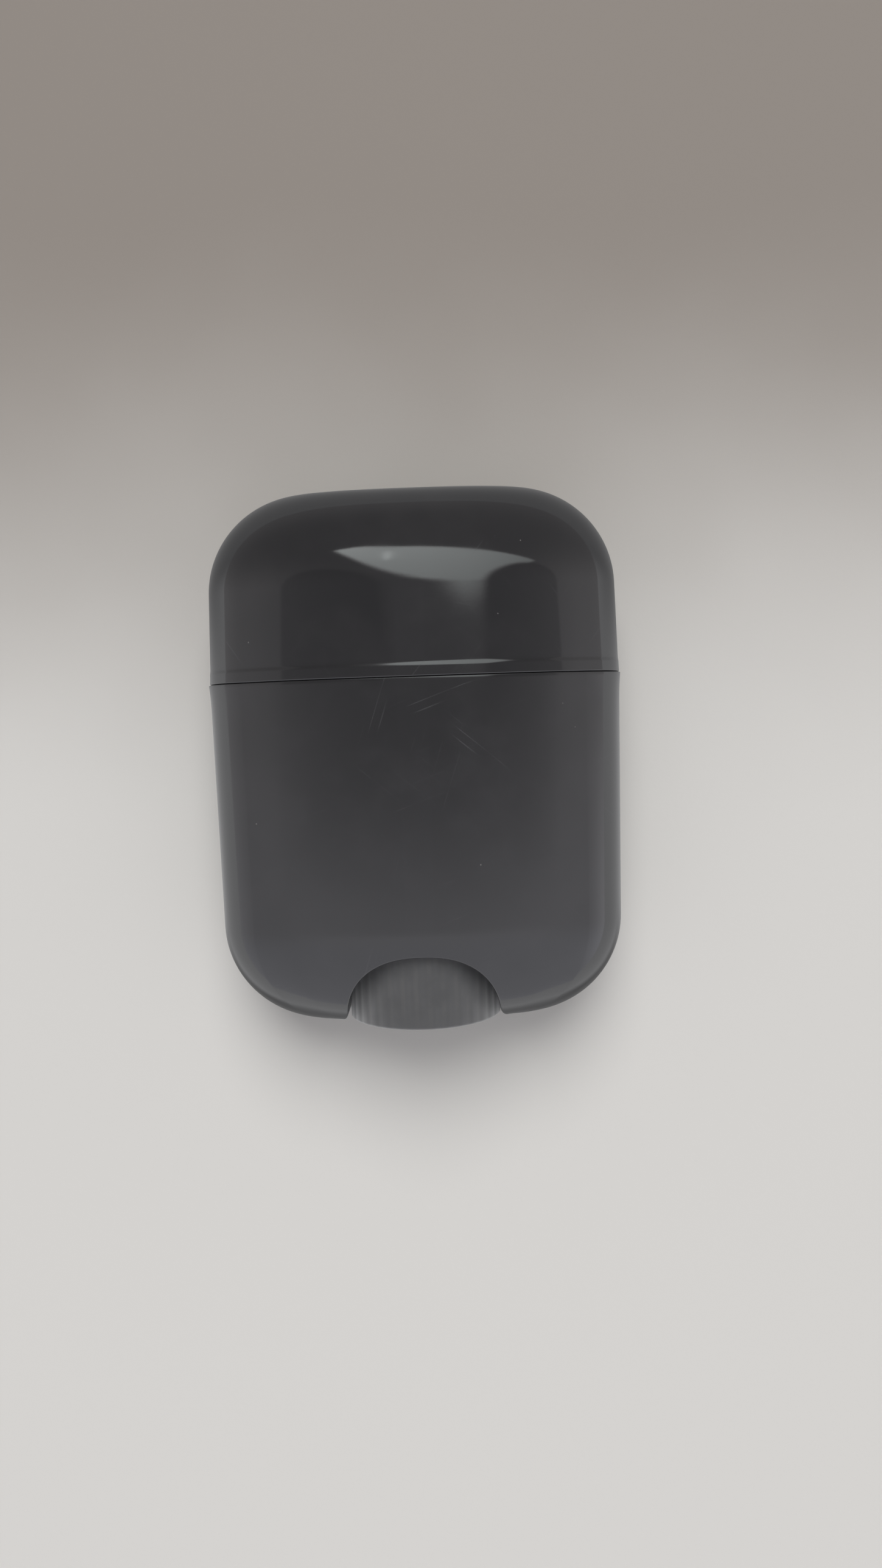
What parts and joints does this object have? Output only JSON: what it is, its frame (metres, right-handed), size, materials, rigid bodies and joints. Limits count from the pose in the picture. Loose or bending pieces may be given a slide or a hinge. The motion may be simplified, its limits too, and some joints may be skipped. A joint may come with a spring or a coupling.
{
  "type": "sunscreen stick",
  "caption": "Wide oval twist-up sunscreen stick in glossy black plastic, with a pull-off cap and a thumb dial bared by an arch in the foot.",
  "frame": {"origin": "under the middle of the stick's box as it lies on its back", "axes": "+Y along the stick towards the crown of the cap, +X across its width, +Z out of its front"},
  "size_m": [0.056, 0.0712, 0.0252],
  "materials": {
    "gloss_black": "polished black plastic",
    "dial_black": "matt charcoal plastic, duller and a little lighter than the case",
    "inner_black": "satin black plastic",
    "white_plastic": "plain white moulding",
    "seal_rubber": "dark soft ring",
    "balm": "firm off-white balm with a soft sheen"
  },
  "bodies": {
    "case": {"case_shell": "gloss_black", "barrel": "inner_black"},
    "dial": {"dial_wheel": "dial_black", "lead_screw": "white_plastic", "shaft_seal": "seal_rubber"},
    "carrier": {"carrier_cup": "white_plastic", "balm": "balm"},
    "cap": {"cap_shell": "gloss_black", "cap_liner": "inner_black"}
  },
  "joints": [
    {"name": "dial_turn", "type": "hinge", "parent": "case", "child": "dial", "pos_m": [0, -0.03545, 0.01259], "axis": [0, 1, 0], "range_deg": [-1080, 1035]},
    {"name": "carrier_rise", "type": "slide", "parent": "case", "child": "carrier", "axis": [0, 1, 0], "range_m": [-0.012, 0.0115]},
    {"name": "cap_pull", "type": "slide", "parent": "case", "child": "cap", "axis": [0, 1, 0], "range_m": [0, 0.04]}
  ],
  "couplings": [
    {"joint": "carrier_rise", "follows": "dial_turn", "m_per_rad": 0.00063662}
  ]
}
